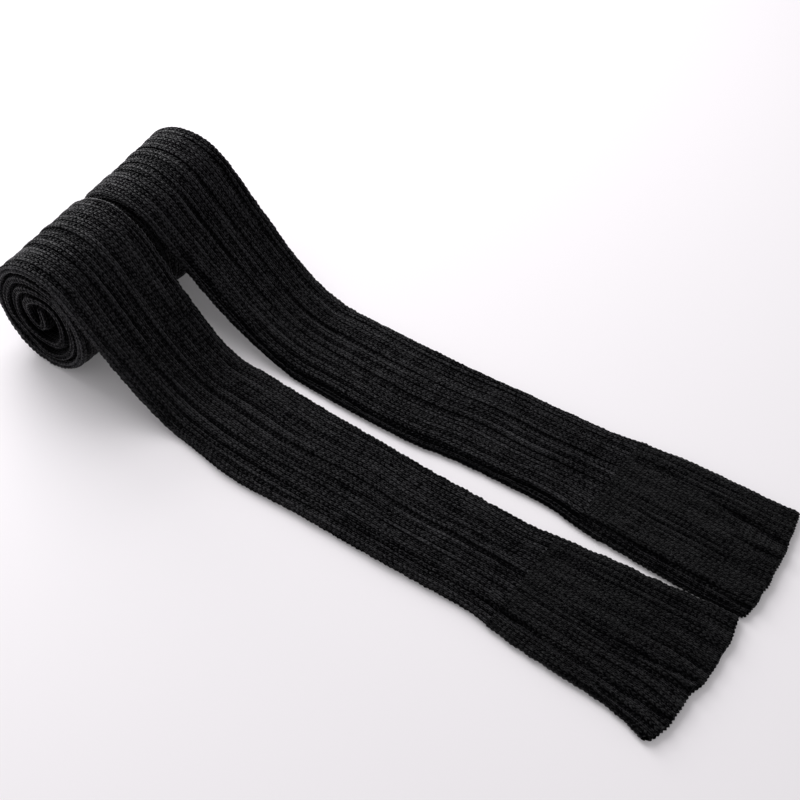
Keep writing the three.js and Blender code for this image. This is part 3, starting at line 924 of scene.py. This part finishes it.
class LEGWARMERS_OT_cuffs(bpy.types.Operator):
    """Smooth flared cuffs with open mouths"""
    bl_idname = "leg_warmers.cuffs"
    bl_label = "Cuffs"

    def execute(self, context):
        sizes = context.scene.leg_warmers
        course = sizes.cuff_course / MM
        for warmer in (NEAR, FAR):
            name = warmer["name"]
            length = -warmer["seam"]
            count = int(round(length / course)) * CUFF_ROWS_PER_COURSE
            part = np.linspace(0, 1, count + 1)
            x = mix(warmer["seam"], 0.0, part)
            deep = mix(CUFF_THICKNESS, MOUTH_THICKNESS, part)
            none = np.zeros(len(x))
            place = np.column_stack([x, deep / 2, none, none + 1, none, none, deep])
            wales = ring_columns(CUFF_WALES, CUFF_FINE_HALF)
            share = (wales / CUFF_WALES)[None, :]
            middle, half = edges_at(warmer, place[:, :1])
            across, out, face_across, face_out = ring_places(half, place[:, 6:7], share)
            seed = warmer["seed"]
            wale = wales[None, :] + 0.25 * slow_waves(seed + 9, x[:, None], across, 70)
            courses = (part * length / course)[:, None] + 0.25 * slow_waves(
                seed + 10, x[:, None], across, 50) + 0.2 * each_wale(seed + 11, wale)
            yarn = 0.6 * sizes.stitch_relief / MM
            relief = -yarn * (1 - stitch_height(wale, courses))
            relief = relief + 0.2 * each_wale(seed + 12, wale)
            hollows = slow_waves(seed + 13, 0.25 * x[:, None], across, 16)
            relief = relief - 0.5 * smoothstep(hollows, 0.0, 0.8)
            relief = relief + edge_bumps(seed + 21, x[:, None], across, courses, face_across)
            flatness = smoothstep(face_out, -0.2, 0.9)
            uneven = 0.45 * slow_waves(seed + 3, x[:, None], across, 60) * flatness
            crease = crease_depth(warmer, x[:, None], middle + across) * (face_out > -0.5)
            fold = crease * flatness
            push = relief + uneven - fold
            outer = cloth_points(warmer, place, across + push * face_across,
                                 out + push * face_out)
            bow = mouth_reach(warmer, part[:, None], across / half)
            scallop = 1.3 * np.abs(np.sin(math.pi * wale)) * smoothstep(part[:, None], 0.985, 1)
            ragged = 1.3 * slow_waves(seed + 14, 0 * across, across, 30) * part[:, None] ** 6
            outer[:, :, 0] += bow + scallop + ragged
            inner_rows = inside_rows_of(len(x))
            lining = place[inner_rows]
            slit = mix(SLIT, MOUTH_SLIT, part[inner_rows, None] ** 3)
            wall = (lining[:, 6:7] - slit) / 2
            picked = np.arange(0, len(wales), INSIDE_COLUMNS)
            inside = ring_places(half[inner_rows] - wall, slit, share[:, picked])
            give = np.clip(fold[inner_rows][:, picked], 0, 0.8 * SLIT) * (inside[3] > 0)
            inner = cloth_points(warmer, lining, inside[0], inside[1] - give)
            inner[:, :, 0] += bow[inner_rows][:, picked]
            # The cuff's creases carry painted shade in the light attribute
            piece = wall_mesh(f"{name}_knitted_cuff", outer, inner, wale, courses, CUFF_WALES,
                              inner_rows, skin_normals(outer), CREASE_PAINTED_SHADE * crease)
            finish_piece(piece, material_for(context, "cuff"), f"{name}_cuff")
        return {"FINISHED"}


class LEGWARMERS_PT_panel(bpy.types.Panel):
    """Sizes, colours and the building steps"""
    bl_label = "Leg warmers"
    bl_idname = "LEGWARMERS_PT_panel"
    bl_space_type = "VIEW_3D"
    bl_region_type = "UI"
    bl_category = "Leg warmers"

    def draw(self, context):
        layout = self.layout
        for group in (context.scene.leg_warmers, context.scene.leg_warmer_stage):
            box = layout.box()
            for key in group.bl_rna.properties.keys():
                if key not in ("rna_type", "name"):
                    box.prop(group, key)
        for operator in OPERATORS:
            layout.operator(operator.bl_idname)


OPERATORS = (
    LEGWARMERS_OT_stage,
    LEGWARMERS_OT_legs,
    LEGWARMERS_OT_turns,
    LEGWARMERS_OT_cores,
    LEGWARMERS_OT_cuffs,
)
CLASSES = (LegWarmerSettings, StageSettings, *OPERATORS, LEGWARMERS_PT_panel)


def register():
    for cls in CLASSES:
        bpy.utils.register_class(cls)
    bpy.types.Scene.leg_warmers = bpy.props.PointerProperty(type=LegWarmerSettings)
    bpy.types.Scene.leg_warmer_stage = bpy.props.PointerProperty(type=StageSettings)


def unregister():
    del bpy.types.Scene.leg_warmer_stage
    del bpy.types.Scene.leg_warmers
    for cls in reversed(CLASSES):
        bpy.utils.unregister_class(cls)


def main():
    register()
    bpy.ops.leg_warmers.stage()
    bpy.ops.leg_warmers.legs()
    bpy.ops.leg_warmers.turns()
    bpy.ops.leg_warmers.cores()
    bpy.ops.leg_warmers.cuffs()


if __name__ == "__main__":
    main()
